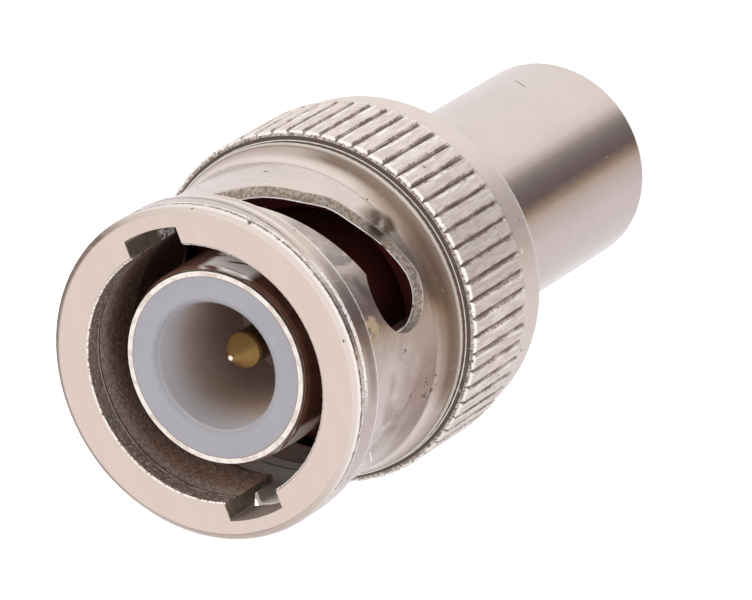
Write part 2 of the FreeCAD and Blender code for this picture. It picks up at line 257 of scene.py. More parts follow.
for stop, (bearing, colour) in zip(tent_ramp.color_ramp.elements, tent_stops):
    stop.position = bearing / FULL_TURN + 0.5
for stop, (bearing, colour) in zip(tent_ramp.color_ramp.elements, tent_stops):
    stop.color = (*colour, 1.0)
print("tent has", len(tent_stops), "tones")

# %% [markdown]
# Mirror images also change with height. Close to the horizon the tent's foot is brown, which is
# what the flare behind the waist shows, and overhead it is one even white for the flat faces.
# The Light Path node then keeps these tones to mirrored rays, so no plain surface gets a cast.

# %% World output
tent_rise = tent.step(tent_axes["Z"], -0.2, 0.45)
tent_foot = tent.step(tent_axes["Z"], -0.75, -0.35)
tent_seen = tent.blend(tent.maths("MULTIPLY", tent_foot, 0.55), tent_ramp.outputs["Color"],
                       (0.34, 0.27, 0.22))
tent_seen = tent.blend(tent_rise, tent_seen, (1.0, 0.985, 0.97))


def background(colour, strength=1.0):
    """Light of one colour from all round the tent."""
    return tent.put("ShaderNodeBackground", {"Color": colour, "Strength": strength}).outputs[0]


def choose(rays, others, those):
    """One background for these rays and another for all the others."""
    return tent.put("ShaderNodeMixShader", {0: rays, 1: others, 2: those}).outputs[0]


EVEN_LIGHT = 0.55
rays = tent.put("ShaderNodeLightPath").outputs
tent_light = background((0.97, 0.98, 1.0), EVEN_LIGHT)
tent_light = choose(rays["Is Glossy Ray"], tent_light, background(tent_seen))
tent_light = choose(rays["Is Camera Ray"], tent_light, background((1.0, 1.0, 1.0)))
tent.put("ShaderNodeOutputWorld", {"Surface": tent_light})
print("world sends even light of", EVEN_LIGHT)

# %% [markdown]
# The floor is a white sweep. A diffuse white floor would show grey, and more light on it would
# also burn out the metal, so its paint adds a little glow that only the camera sees. Mirrored
# rays pass it by, because in a tent the metal mirrors the tent's foot there.

# %% Floor
floor_half = 1.5
floor_mesh = bpy.data.meshes.new("floor")
floor_corners = ((-floor_half, -floor_half, 0), (floor_half, -floor_half, 0),
                 (floor_half, floor_half, 0), (-floor_half, floor_half, 0))
floor_mesh.from_pydata(floor_corners, [], [(0, 1, 2, 3)])
floor = bpy.data.objects.new("floor", floor_mesh)
bpy.context.scene.collection.objects.link(floor)
floor.visible_glossy = False
floor_paint = bpy.data.materials.new("floor white")
floor_paint.use_nodes = True
sweep = Tree(floor_paint.node_tree)
sweep.nodes.clear()
floor_matt = sweep.put("ShaderNodeBsdfDiffuse", {"Color": (0.86, 0.86, 0.86)}).outputs[0]
camera_rays = sweep.put("ShaderNodeLightPath").outputs["Is Camera Ray"]
floor_glow = sweep.put("ShaderNodeEmission",
                       {"Strength": sweep.maths("MULTIPLY", camera_rays, 0.55)})
floor_sum = sweep.put("ShaderNodeAddShader", {0: floor_matt, 1: floor_glow.outputs[0]})
sweep.put("ShaderNodeOutputMaterial", {"Surface": floor_sum.outputs[0]})
floor_mesh.materials.append(floor_paint)
print("floor", floor_half * 2, "m square")

# %% [markdown]
# Two soft boxes light what doesn't mirror: the insulator, the gasket and the floor. They could
# also light the metal, but a box in a mirror is a hard white square, so they are kept out of
# mirrored rays and the tent alone draws the metal.

# %% Lamps


def soft_lamp(name, place, size, power, colour):
    """A square soft box that points at the plug."""
    data = bpy.data.lights.new(name, "AREA")
    data.shape = "SQUARE"
    data.size = size
    data.energy = power
    data.color = colour
    lamp = bpy.data.objects.new(name, data)
    lamp.location = place
    aim = Vector((0, 0, 0.015)) - Vector(place)
    lamp.rotation_euler = aim.to_track_quat("-Z", "Y").to_euler()
    bpy.context.scene.collection.objects.link(lamp)
    lamp.visible_glossy = False


soft_lamp("key box", (-0.1, 0.22, 0.3), 0.22, 1.0, (1.0, 0.97, 0.94))
soft_lamp("fill box", (0.25, -0.15, 0.2), 0.25, 0.5, (0.95, 0.97, 1.0))
print("two soft boxes")

# %% [markdown]
# ## Shared effects
# Marks that several metals carry are node groups: built once, with named sockets, and placed in
# each material with its own values. The first group turns a point into radius, depth and
# bearing, so that a mask can say where on the turned part it lies.

# %% Group maker and the place group


def new_group(name, outputs, **inputs):
    """A node group's tree, its inputs and a setter of outputs. An input of None is a point."""
    group = Tree(bpy.data.node_groups.new(name, "ShaderNodeTree"))
    sockets = group.tree.interface
    for word, value in inputs.items():
        kind = "NodeSocketVector" if value is None else "NodeSocketFloat"
        made = sockets.new_socket(label(word), in_out="INPUT", socket_type=kind)
        if value is not None:
            made.default_value = value
    for name in outputs:
        sockets.new_socket(name, in_out="OUTPUT", socket_type="NodeSocketFloat")
    entry = group.nodes.new("NodeGroupInput")
    leave = group.nodes.new("NodeGroupOutput")
    return group, entry.outputs, lambda output, value: group.fill(leave.inputs[output], value)


places, enter, leave = new_group("plug place", ("Radius", "Depth", "Bearing"), point=None)
axes = places.split(enter["Point"])
across = places.maths("MULTIPLY", axes["X"], axes["X"])
across = places.maths("MULTIPLY_ADD", axes["Y"], axes["Y"], across)
leave("Radius", places.maths("MULTIPLY", places.maths("SQRT", across), 1.0 / MM))
leave("Depth", places.shift(overall_length, axes["Z"], -1.0 / MM))
turn = places.maths("DEGREES", places.maths("ARCTAN2", axes["Y"], axes["X"]))
leave("Bearing", places.maths("WRAP", turn, FULL_TURN, 0.0))
print("groups so far", len(bpy.data.node_groups))

# %% [markdown]
# A band is the plainest mask: full between two values and soft at its ends. Edges of a turned
# part lie at a known radius or depth, so bands find the worn, bright or dirty ones exactly,
# where a curvature map would need denser meshes.

# %% Band group
bands, enter, leave = new_group("band", ("Mask",), value=0.0, low=0.0, high=1.0, soft=0.02)
low_edge = bands.maths("SUBTRACT", enter["Value"], enter["Low"])
high_edge = bands.maths("SUBTRACT", enter["High"], enter["Value"])
nearest = bands.maths("MINIMUM", low_edge, high_edge)
share = bands.maths("DIVIDE", nearest, enter["Soft"])
leave("Mask", bands.maths("ADD", share, 0.5, clamp=True))
print("band group ready")

# %% [markdown]
# A lathe leaves fine rings, because its tool moves along a little with each turn. The group
# makes noise that depends on radius and depth and hardly on the bearing, so one group serves
# faces, cones and barrels alike.

# %% Turning rings group
turning, enter, leave = new_group("turning rings", ("Rings",), point=None, pitch=0.06, wander=0.4)
spot = turning.use(places, point=enter["Point"])
along = turning.maths("ADD", spot["Radius"], spot["Depth"])
along = turning.maths("DIVIDE", along, enter["Pitch"])
bearing = turning.maths("RADIANS", spot["Bearing"])
east = turning.maths("MULTIPLY", turning.maths("COSINE", bearing), enter["Wander"])
north = turning.maths("MULTIPLY", turning.maths("SINE", bearing), enter["Wander"])
leave("Rings", turning.noise(turning.join(along, east, north), 1.0, 2.0))
print("turning rings group ready")

# %% [markdown]
# Barrel plating leaves satin grain and slow clouds of tone. Both are noises over the point in
# millimetres, the clouds more than ten times the size of the grain, and a soft step gives the
# clouds more contrast.

# %% Plating group
plating, enter, leave = new_group("plating", ("Grain", "Cloud"), point=None, grain_size=0.12,
                                  cloud_size=1.6)
in_mm = plating.millimetres(enter["Point"])
grain_scale = plating.maths("DIVIDE", 1.0, enter["Grain size"])
cloud_scale = plating.maths("DIVIDE", 1.0, enter["Cloud size"])
leave("Grain", plating.noise(in_mm, grain_scale, 3.0, 0.6))
cloud = plating.noise(in_mm, cloud_scale, 4.0, 0.6, 0.6)
leave("Cloud", plating.step(cloud, 0.3, 0.7))
print("plating group ready")

# %% [markdown]
# Handling leaves nicks and pits. They are cells of a Voronoi pattern whose random number is low
# enough, so that few of them are drawn, and a second random number gives each its own size. The
# point is shaken a little first, so that no pit is round.

# %% Pits group
pitting, enter, leave = new_group("pits", ("Mask",), point=None, spacing=0.5, share=0.1, reach=0.2)
in_mm = pitting.millimetres(enter["Point"])
wobble = pitting.put("ShaderNodeTexNoise", {"Vector": in_mm, "Scale": 6.0, "Detail": 1.0})
wobbled = pitting.vector("MULTIPLY_ADD", wobble.outputs[1], (0.2, 0.2, 0.2), in_mm)
cells = pitting.put("ShaderNodeTexVoronoi",
                    {"Vector": wobbled, "Scale": pitting.maths("DIVIDE", 1.0, enter["Spacing"])})
lot = pitting.split(cells.outputs["Color"])
drawn = pitting.maths("LESS_THAN", lot["X"], enter["Share"])
size = pitting.maths("MULTIPLY", enter["Reach"], pitting.maths("ADD", lot["Y"], 0.4))
inside = pitting.maths("SUBTRACT", size, cells.outputs["Distance"])
leave("Mask", pitting.both(drawn, pitting.step(inside, 0.0, 0.08)))
print("groups so far", len(bpy.data.node_groups))

# %% [markdown]
# Scratches are long and thin. A noise that is squeezed across and stretched along one direction
# has such shapes, and its crossings of one middle level are thin lines. Two of them at an angle
# look like handling rather than brushing.

# %% Scratches group
scratching, enter, leave = new_group("scratches", ("Mask",), point=None, width=0.01, spacing=0.5)
in_mm = scratching.millimetres(enter["Point"])
closeness = scratching.maths("DIVIDE", 1.0, enter["Spacing"])
strokes = []
for angles, squeeze in (((0.5, 0.3, 1.1), (2.2, 0.16, 0.3)), ((1.4, 0.8, 0.2), (0.2, 2.0, 0.25))):
    level = scratching.noise(scratching.stretch(in_mm, squeeze, angles), closeness, 1.0)
    off_level = scratching.maths("ABSOLUTE", scratching.maths("SUBTRACT", level, 0.56))
    strokes.append(scratching.maths("LESS_THAN", off_level, enter["Width"]))
stroke = scratching.maths("MAXIMUM", *strokes)
gate = scratching.step(scratching.noise(in_mm, 0.9, 1.0), 0.5, 0.6)
leave("Mask", scratching.both(stroke, gate))
print("scratches group ready")

# %% [markdown]
# The inside of a cheap nut is left as it was cast or drilled: coarse, brown with old fluid, and
# glittering where the plating reached a crystal. Lumps come from a noise, crystals from small
# Voronoi cells of which a few are bright.

# %% Cast skin group
casting, enter, leave = new_group("cast skin", ("Tone", "Sparkle", "Lumps"), point=None, size=0.16)
in_mm = casting.millimetres(enter["Point"])
closeness = casting.maths("DIVIDE", 1.0, enter["Size"])
lumps = casting.noise(in_mm, closeness, 4.0, 0.65)
cells = casting.put("ShaderNodeTexVoronoi", {"Vector": in_mm, "Scale": closeness})
lot = casting.split(cells.outputs["Color"])
bright = casting.maths("GREATER_THAN", lot["X"], 0.72)
near = casting.step(cells.outputs["Distance"], 0.5, 0.1)
leave("Tone", casting.step(lumps, 0.32, 0.68))
leave("Sparkle", casting.both(bright, near))
leave("Lumps", casting.shift(lumps, near, 0.4))
print("groups", sorted(group.name for group in bpy.data.node_groups))

# %% [markdown]
# ## Nickel
# A mask says where a layer of a material goes. The first kind is cut by radius, depth or bearing,
# the second is random: patches, pits, and one round drop at a place of its own.

# %% Masks


class Masks(Tree):
    """A material's tree that knows where on the plug each point lies."""

    def __init__(self, name):
        self.paint = bpy.data.materials.new(name)
        self.paint.use_nodes = True
        super().__init__(self.paint.node_tree)
        self.point = self.put("ShaderNodeTexCoord").outputs["Object"]
        spot = self.use(places, point=self.point)
        self.radius, self.depth, self.bearing = spot["Radius"], spot["Depth"], spot["Bearing"]

    def band(self, value, low, high, soft=0.03):
        """A mask that is full while a value lies between two others."""
        return self.use(bands, value=value, low=low, high=high, soft=soft)["Mask"]

    def radii(self, low, high, soft=0.03):
        return self.band(self.radius, low, high, soft)

    def depths(self, low, high, soft=0.03):
        return self.band(self.depth, low, high, soft)

    def bearings(self, low, high, soft):
        return self.band(self.bearing, low, high, soft)

    def other_bearings(self, low, high, soft):
        return self.maths("SUBTRACT", 1.0, self.bearings(low, high, soft))

    def patches(self, scale, low, high, detail=2.0, rough=0.55, distortion=0.0):
        """A mask of cloudy patches, from a noise that is cut between two of its levels."""
        return self.step(self.noise(self.point, scale, detail, rough, distortion), low, high)

    def drop(self, radius, bearing, depth, reach):
        """A mask for one round spot of the given reach in millimetres."""
        turn = math.radians(bearing)
        centre = (radius * math.cos(turn) * MM, radius * math.sin(turn) * MM, height(depth))
        gap = self.put("ShaderNodeVectorMath", {0: self.point, 1: centre}, operation="DISTANCE")
        return self.step(gap.outputs["Value"], reach * MM * 1.3, reach * MM * 0.7)

    def pits(self, **sizes):
        """A mask of scattered pits of the given spacing, share and reach."""
        return self.use(pitting, point=self.point, **sizes)["Mask"]


print("masks ready")

# %% [markdown]
# A material is built up like the surface itself, one layer over another. The class keeps the
# colour, roughness, metallic share and height reached so far, each layer covers them where its
# masks hold, and closing it feeds what has gathered to the shader.

# %% Layers


class Finish(Masks):
    """A material under construction: its colour, roughness and height so far."""

    metallic = 1.0
    height = 0.0

    def lay(self, masks, colour=None, rough=None, metallic=None):
        """Covers where all the masks hold with another colour, roughness or metallic."""
        mask = self.both(*masks) if isinstance(masks, tuple) else masks
        if colour is not None:
            self.colour = self.blend(mask, self.colour, colour)
        if rough is not None:
            self.rough = self.mix(mask, self.rough, rough)
        if metallic is not None:
            self.metallic = self.mix(mask, self.metallic, metallic)

    def raise_by(self, value, amount, mask=None):
        """Adds a height in micrometres, only where the mask allows."""
        step = self.maths("MULTIPLY", value, amount)
        if mask is not None:
            step = self.both(step, mask)
        self.height = self.maths("ADD", self.height, step)

    def close(self):
        """Feeds the shader and gives back the finished material."""
        bump = self.put("ShaderNodeBump",
                        {"Height": self.height, "Distance": MICROMETRE, "Strength": 1.0})
        sockets = self.nodes["Principled BSDF"].inputs
        self.fill(sockets["Base Color"], self.colour)
        self.fill(sockets["Roughness"], self.rough)
        self.fill(sockets["Metallic"], self.metallic)
        self.fill(sockets["Normal"], bump.outputs[0])
        print(self.paint.name, "has", len(self.nodes), "nodes")
        return self.paint


print("layers ready")

# %% [markdown]
# Every metal piece starts from the same satin nickel: a warm colour with slow clouds, turning
# rings and grain. One function builds that start, so each piece only has to lay its own marks on
# top. The tones that several pieces share are named here: two of the plate, one for rubbed spots
# and painted highlights, and one for burrs and painted highlights.

# %% Start of every metal


def nickel(name, light, dark, rough, pitch=0.07, ring_height=1.0, grain=0.12, grain_height=1.6):
    """Plated metal with clouds, turning rings and grain."""
    metal = Finish(name)
    plate = metal.use(plating, point=metal.point, grain_size=grain, cloud_size=1.5)
    metal.grain, metal.cloud = plate["Grain"], plate["Cloud"]
    metal.rings = metal.use(turning, point=metal.point, pitch=pitch)["Rings"]
    shade = metal.mix(0.45, metal.cloud, metal.grain)
    metal.colour = metal.blend(shade, light, dark)
    metal.rough = metal.shift(rough - 0.06, metal.grain, 0.12)
    metal.raise_by(metal.grain, grain_height)
    metal.raise_by(metal.rings, ring_height)
    return metal


NICKEL_LIGHT = (0.8, 0.69, 0.63)
NICKEL_DARK = (0.7, 0.6, 0.545)
# the two bright tones serve real rubbing and burrs as well as painted highlights
RUBBED_AND_HIGHLIGHT = (1.0, 0.97, 0.94)
BURR_AND_HIGHLIGHT = (1.0, 0.95, 0.9)
print("nickel start ready")

# %% [markdown]
# ## The coupling nut
# The nut carries most of the picture. Its mating face is faced flat and shows faint straight tool
# lines. Straight lines need their own direction, so their noise is stretched along one line in
# plan.

# %% Nut: mating face
nut = nickel("nut nickel", NICKEL_LIGHT, NICKEL_DARK, 0.2)
face = nut.depths(-0.2, 0.015, 0.01)
tool_turn = (0.0, 0.0, math.radians(13.6))
tool_place = nut.stretch(nut.point, (4200, 160, 0.0), tool_turn)
tool_lines = nut.noise(tool_place, 1.0, 3.0)
nut.lay(face, nut.blend(tool_lines, (0.8, 0.665, 0.62), (0.72, 0.61, 0.555)),
        nut.mix(tool_lines, 0.3, 0.38))
nut.raise_by(tool_lines, 1.5, face)
print("nut face")

# %% [markdown]
# The rim's outer edge is broken by a narrow bevel, and its outer part carries a painted highlight.
# On its left side the bevel is painted dark as painted shade, so its mask is cut to a range of
# bearings.

# %% Nut: bevel and side of the rim
rim_skin = nut.radii(6.05, 6.5)
bevel = nut.both(rim_skin, nut.depths(0.01, 0.25, 0.02))
nut.lay(bevel, (0.84, 0.74, 0.69), 0.32)
# painted highlight along the bevel's outer part
nut.lay((bevel, nut.radii(6.29, 6.5, 0.04)), (1.0, 0.94, 0.9), 0.3)
# painted shade on the left side of the bevel
left_bevel_painted_shade = nut.both(bevel, nut.bearings(104, 212, 14), nut.radii(6.15, 6.5, 0.04))
nut.lay(left_bevel_painted_shade, nut.blend(nut.grain, (0.16, 0.11, 0.095), (0.5, 0.4, 0.36)), 0.4)
rim_side = nut.both(rim_skin, nut.depths(0.5, 1.5, 0.1))
nut.lay(rim_side, nut.blend(nut.grain, (0.72, 0.61, 0.55), (0.62, 0.52, 0.465)))
print("bevel and rim side")

# %% [markdown]
# The edge behind the bevel is worn. Dark and light dashes run round it, and on the right it is
# speckled. Noise does two jobs here: added to the depth it makes a line ragged, and cut at a level
# it breaks the line into dashes. Last comes a fine dark line on the face itself.

# %% Nut: wear along the rim
wobble = nut.noise(nut.point, 2600, 2.0)
rough_depth = nut.shift(nut.depth, wobble, 0.09)
nut.lay((rim_skin, nut.band(rough_depth, 0.31, 0.41, 0.04), nut.step(wobble, 0.36, 0.5)),
        (0.22, 0.17, 0.145), 0.4)
nut.lay((rim_skin, nut.band(rough_depth, 0.44, 0.54, 0.04), nut.step(wobble, 0.62, 0.5)),
        (1.0, 0.93, 0.88), 0.25)
rim_mark = nut.noise(nut.point, 9000, 2.0)
worn_edge = nut.both(rim_skin, nut.depths(0.22, 0.5, 0.05), nut.other_bearings(70, 300, 24))
nut.lay((worn_edge, nut.step(rim_mark, 0.42, 0.33)), (0.5, 0.41, 0.36), 0.4)
nut.lay((worn_edge, nut.step(rim_mark, 0.58, 0.68)), (1.0, 0.95, 0.91), 0.25)
face_line = nut.both(face, nut.radii(6.08, 6.13, 0.03), nut.bearings(130, 285, 30))
nut.lay(face_line, (0.46, 0.38, 0.345), 0.4)
print("worn rim")

# %% [markdown]
# Two longer marks lie on the rim: a thin dark line of painted shade that wanders backwards along
# its top, and a lighter one behind it. A line whose depth grows with the bearing is a
# band too, once that growth is taken off the depth. The rim's foot carries a line and streaks of
# painted highlight with painted shade behind them, and the waist a patch of painted shade. The
# flare behind the waist is painted brown round the side as painted shade, and lighter on top as
# painted highlight.

# %% Nut: lines round the rim and the waist
slanted = nut.shift(rough_depth, nut.bearing, -0.0089)
rim_top = nut.both(rim_skin, nut.bearings(34, 96, 16))
# painted shade: a thin dark line along the rim's top
nut.lay((rim_top, nut.band(slanted, 0.36, 0.43, 0.05)), (0.24, 0.2, 0.17), 0.4)
nut.lay((rim_top, nut.band(slanted, 0.62, 0.76, 0.12)), (0.93, 0.84, 0.78))
# painted highlight along the rim's foot
rim_foot_highlight = nut.both(nut.radii(6.08, 6.38), nut.band(rough_depth, 1.54, 1.63, 0.05))
nut.lay(rim_foot_highlight, (0.95, 0.88, 0.83), 0.25, 0.5)
rim_right = nut.other_bearings(26, 336, 10)
# painted highlight: bright streaks on the rim's right side
rim_streak_highlight = nut.both(rim_skin, rim_right, nut.band(rough_depth, 0.6, 0.82, 0.05),
                      nut.step(rim_mark, 0.3, 0.44))
nut.lay(rim_streak_highlight, (0.94, 0.86, 0.81), 0.35, 0.15)
# painted shade behind the bright streaks
nut.lay((rim_skin, rim_right, nut.depths(1.0, 1.42, 0.1)), (0.5, 0.42, 0.39), 0.3)
waist_skin = nut.radii(6.06, 6.7)
waist_shade = nut.both(waist_skin, nut.bearings(23, 44, 7.0), nut.depths(1.7, 3.1, 0.3))
nut.lay(waist_shade, nut.blend(nut.cloud, (0.42, 0.34, 0.305), (0.62, 0.53, 0.48)), 0.3)
nut.lay((waist_skin, nut.depths(6.43, 6.49)), (0.36, 0.3, 0.26), 0.35)
# painted shade on the flare, lighter with painted highlight on the bearings of its top
flare_painted_shade = nut.both(waist_skin, nut.depths(6.52, 7.55, 0.5))
flare_highlight_bearings = nut.maths("MAXIMUM", nut.bearings(38, 130, 14), nut.bearings(270, 316, 10))
nut.lay(flare_painted_shade, nut.blend(flare_highlight_bearings, (0.56, 0.44, 0.355), (0.86, 0.75, 0.69)))
print("lines round the rim and the flare")

# %% [markdown]
# Behind the flare stands a thin ring whose two sharp edges carry painted highlights, with painted
# shade between them, and the groove between it and the knurl is painted dark as painted shade. The
# flare's foot gets painted shade too. At this size the eye reads them as two white lines and a dark
# one.

# %% Nut: the ring in front of the knurl
ring_skin = nut.radii(6.4, 6.9)
ring_depth = nut.shift(nut.depth, wobble, 0.03)
# painted highlight, painted shade and painted highlight across the ring
for front, rear, tone, rough in ((7.63, 7.74, RUBBED_AND_HIGHLIGHT, 0.25),
                                 (7.78, 7.86, (0.42, 0.345, 0.3), 0.3),
                                 (7.89, 8.0, (1.0, 0.98, 0.95), 0.25)):
    nut.lay((ring_skin, nut.band(ring_depth, front, rear)), tone, rough)
# painted shade at the flare's foot
flare_foot_painted_shade = nut.both(waist_skin, nut.depths(7.15, 7.6, 0.22), nut.other_bearings(62, 316, 12))
nut.lay(flare_foot_painted_shade, (0.38, 0.295, 0.235), 0.3)
# painted shade where the flare meets the ring
nut.lay((ring_skin, nut.band(ring_depth, 7.53, 7.59)), (0.34, 0.275, 0.23), 0.35)
# painted shade in the groove before the knurl
gutter_painted_shade = nut.both(nut.radii(6.515, 6.74, 0.02), nut.depths(7.95, 8.11))
nut.lay(gutter_painted_shade, (0.13, 0.1, 0.085), 0.5)
print("two bright lines and a dark one")

# %% [markdown]
# A straight knurl is rolled: the roller pushes metal up into lands, and streaks run along each of
# them. Bearing times radius gives the distance along the band, and a stretched noise over that
# distance and the depth makes the streaks. The bearing counted in grooves gives each land its own
# tone from its whole part.

# %% Nut: lands of the knurl
KNURL_TEETH = 62
MM_PER_DEGREE = 0.1195
knurl = nut.both(nut.radii(6.66, 6.95), nut.depths(8.04, 12.2))
arc = nut.maths("MULTIPLY", nut.bearing, MM_PER_DEGREE)
streak_place = nut.join(nut.maths("MULTIPLY", arc, 8.0), nut.depth)
streaks = nut.noise(streak_place, 0.85, 4.0, 0.7)
torn = nut.noise(nut.millimetres(nut.point), 5.5, 3.0, 0.65)
streak_light = nut.step(streaks, 0.4, 0.6)
pitch_count = nut.maths("MULTIPLY", nut.bearing, KNURL_TEETH / FULL_TURN)
land_tone = nut.put("ShaderNodeTexWhiteNoise", {"W": nut.maths("FLOOR", pitch_count)},
                    noise_dimensions="1D").outputs["Value"]
dark_land = nut.blend(land_tone, (0.74, 0.635, 0.58), (0.82, 0.71, 0.65))
light_land = nut.blend(land_tone, (0.9, 0.8, 0.74), (0.98, 0.9, 0.85))
knurl_colour = nut.blend(streak_light, dark_land, light_land)
nut.lay(knurl, knurl_colour, nut.mix(torn, 0.42, 0.6), 0.68)
nut.raise_by(streaks, 11, knurl)
nut.raise_by(torn, 5.0, knurl)
print("lands and streaks")

# %% [markdown]
# The part of the groove count behind the decimal point is the place across a land. One side of
# each land has a torn crest, burred and brightened by painted highlight; the grooves and the torn
# edges are darker in broken runs; and the front and rear ends of the lands carry painted highlights
# on their burrs.

# %% Nut: crests, grooves and burr highlights
across = nut.maths("FRACT", pitch_count)
ragged = nut.shift(nut.maths("SUBTRACT", across, 0.11), torn, 0.22)
# the crest is a burred edge brightened with painted highlight
crest = nut.both(knurl, nut.band(ragged, 0.66, 0.82, 0.05), nut.step(streaks, 0.47, 0.56))
nut.lay(crest, BURR_AND_HIGHLIGHT, 0.22)
groove_radius = nut.shift(nut.radius, torn, 0.16)
groove = nut.both(knurl, nut.band(groove_radius, 6.6, 6.855, 0.05))
dark_runs = nut.step(streaks, 0.58, 0.44)
nut.lay(groove, nut.blend(dark_runs, (0.62, 0.53, 0.475), (0.21, 0.165, 0.14)), 0.5)
ragged_gap = nut.shift(nut.maths("PINGPONG", pitch_count, 0.5), torn, 0.5)
torn_edge = nut.both(knurl, nut.band(ragged_gap, -1.0, 0.4, 0.03), dark_runs)
nut.lay(torn_edge, (0.4, 0.335, 0.295), 0.5)
# painted highlight along the front ends of the lands
front_burr_highlight = nut.both(nut.band(groove_radius, 6.83, 7.1, 0.03), nut.band(ring_depth, 8.07, 8.2, 0.04))
nut.lay(front_burr_highlight, (1.0, 0.96, 0.92), 0.25)
# painted highlight as bright ticks at the rear ends of the lands
rear_burr_highlight = nut.both(nut.band(groove_radius, 6.83, 7.1), nut.band(ring_depth, 12, 12.16),
                     nut.step(streaks, 0.46, 0.56))
nut.lay(rear_burr_highlight, (1.0, 0.96, 0.92), 0.25)
print("crests, grooves and burrs")

# %% [markdown]
# Behind the knurl the rear rim is plain, and painted shade darkens it towards the knurl. One
# bright drop of plating stands on it.

# %% Nut: rear rim
rear_rim = nut.both(nut.radii(5.7, 6.9), nut.depths(12.16, 14.1))
nut.lay(rear_rim, nut.blend(nut.grain, (0.86, 0.75, 0.69), (0.76, 0.66, 0.6)), 0.34, 0.68)
# painted shade on the rear rim next to the knurl
rear_rim_painted_shade = nut.both(rear_rim, nut.depths(12.1, 12.4, 0.12))
nut.lay(rear_rim_painted_shade, (0.5, 0.41, 0.35), 0.34)
bead = nut.drop(6.62, 353.1, 12.67, 0.1)
nut.lay(bead, RUBBED_AND_HIGHLIGHT, 0.15)
print("rear rim and its drop")

# %% [markdown]
# The slots are milled through the plated tube, so their walls are bare, rough and greyer than the
# skin, with a burr along the outer edge that carries a line of painted highlight. The walls are the
# only surfaces between the inner and the outer radius of the skin, so a band over the radius finds
# them.

# %% Nut: slot walls
milled = nut.noise(nut.millimetres(nut.point), 7.5, 3.0, 0.6)
slot_depths = nut.depths(1.0, 7.0)
slot_wall = nut.both(nut.radii(5.67, 6.085, 0.015), slot_depths)
wall_colour = nut.blend(nut.step(milled, 0.36, 0.64), (0.47, 0.385, 0.32), (0.88, 0.78, 0.7))
nut.lay(slot_wall, wall_colour, 0.45, 0.7)
nut.raise_by(milled, 18, slot_wall)
burr_radius = nut.shift(nut.radius, milled, 0.05)
# painted highlight along the slot's outer burr
outer_burr_highlight = nut.both(nut.band(burr_radius, 6.075, 6.115, 0.02), slot_depths,
                      nut.radii(5.9, 6.092, 0.01))
nut.lay(outer_burr_highlight, BURR_AND_HIGHLIGHT, 0.2)
print("slot walls")

# %% [markdown]
# Inside, the mouth is a cast land, dark and glittering, with a finer lip in front of one sharp
# line of painted shade; painted highlights run along the lip's edge and the mouth's edge. Hardly
# any light falls straight in here, so the metallic share is low: a part mirror in a
# dark hole turns black, a matt skin keeps its tone.

# %% Nut: land of the mouth
cast = nut.use(casting, point=nut.point, size=0.15)
land = nut.both(nut.radii(4.0, 5.45), nut.depths(0.06, 9.0))
land_colour = nut.blend(cast["Tone"], (0.25, 0.145, 0.11), (0.5, 0.33, 0.265))
nut.lay(land, land_colour, 0.5, 0.25)
lip_zone = nut.both(land, nut.depths(0.0, 0.86))
nut.lay(lip_zone, nut.blend(cast["Tone"], (0.15, 0.105, 0.085), (0.34, 0.265, 0.225)))
land_front = nut.both(land, nut.depths(1.0, 1.6, 0.35))
nut.lay(land_front, nut.blend(cast["Tone"], (0.29, 0.21, 0.175), (0.56, 0.45, 0.39)))
nut.lay((land, cast["Sparkle"]), (0.8, 0.7, 0.6), 0.35, 0.6)
nut.raise_by(cast["Lumps"], 28, land)
# painted shade at the step behind the lip
lip_line_painted_shade = nut.both(land, nut.depths(0.84, 0.97))
nut.lay(lip_line_painted_shade, (0.05, 0.035, 0.028), 0.5)
# painted highlight along the lip's edge
lip_edge_highlight = nut.both(land, nut.depths(0.77, 0.82), nut.step(nut.cloud, 0.4, 0.55))
nut.lay(lip_edge_highlight, (0.74, 0.64, 0.56), 0.35)
# painted highlight along the mouth's edge
mouth_edge_highlight = nut.both(nut.radii(4.0, 5.02), nut.depths(0.03, 0.12), nut.step(nut.grain, 0.38, 0.52))
nut.lay(mouth_edge_highlight, (1.0, 0.92, 0.85), 0.3)
print("mouth")

# %% [markdown]
# The keyways are cut through the land in olive brown. Behind the upper one the stud of a jack has
# scuffed the cam's lip white, and the cam's deep side, which gets no light at all, is painted
# nearly black as painted shade.

# %% Nut: keyways
key_wall = nut.both(nut.radii(4.97, 5.57), nut.depths(0.04, 3.3))
key_colour = nut.blend(nut.cloud, (0.13, 0.1, 0.07), (0.3, 0.245, 0.185))
nut.lay(key_wall, key_colour, 0.36, 0.5)
# painted shade: the cam's deep side painted near black
slot_deep_painted_shade = nut.both(nut.radii(4.95, 5.45), nut.depths(3.5, 7.2, 0.1))
nut.lay(slot_deep_painted_shade, nut.blend(nut.cloud, (0.07, 0.032, 0.026), (0.13, 0.07, 0.055)), 0.5)
key_scuff = nut.both(key_wall, nut.depths(2.2, 3.4, 0.2), nut.bearings(62, 114, 6.0),
                     nut.step(torn, 0.46, 0.56))
nut.lay(key_scuff, BURR_AND_HIGHLIGHT, 0.3, 0.1)
key_floor = nut.both(nut.radii(5.5, 5.61), nut.depths(0.03, 1.8))
nut.lay(key_floor, nut.blend(nut.grain, (0.26, 0.19, 0.15), (0.66, 0.57, 0.51)), 0.4, 0.4)
print("keyways")

# %% [markdown]
# Behind the land the bore is wider and smoother. Its nickel is painted near-white and matt there,
# as a painted reflection of the light that comes in through the keyways. The lathe's steps show as
# two dark lines with a plain strip between them, and the wall beside the gasket is painted pink as
# a painted reflection of its red. Deeper in, where the spring runs, the wall is painted dark as
# painted shade.

# %% Nut: wall behind the land
inner_wall = nut.both(nut.radii(5.5, 5.668, 0.01), nut.depths(1.8, 14.2))
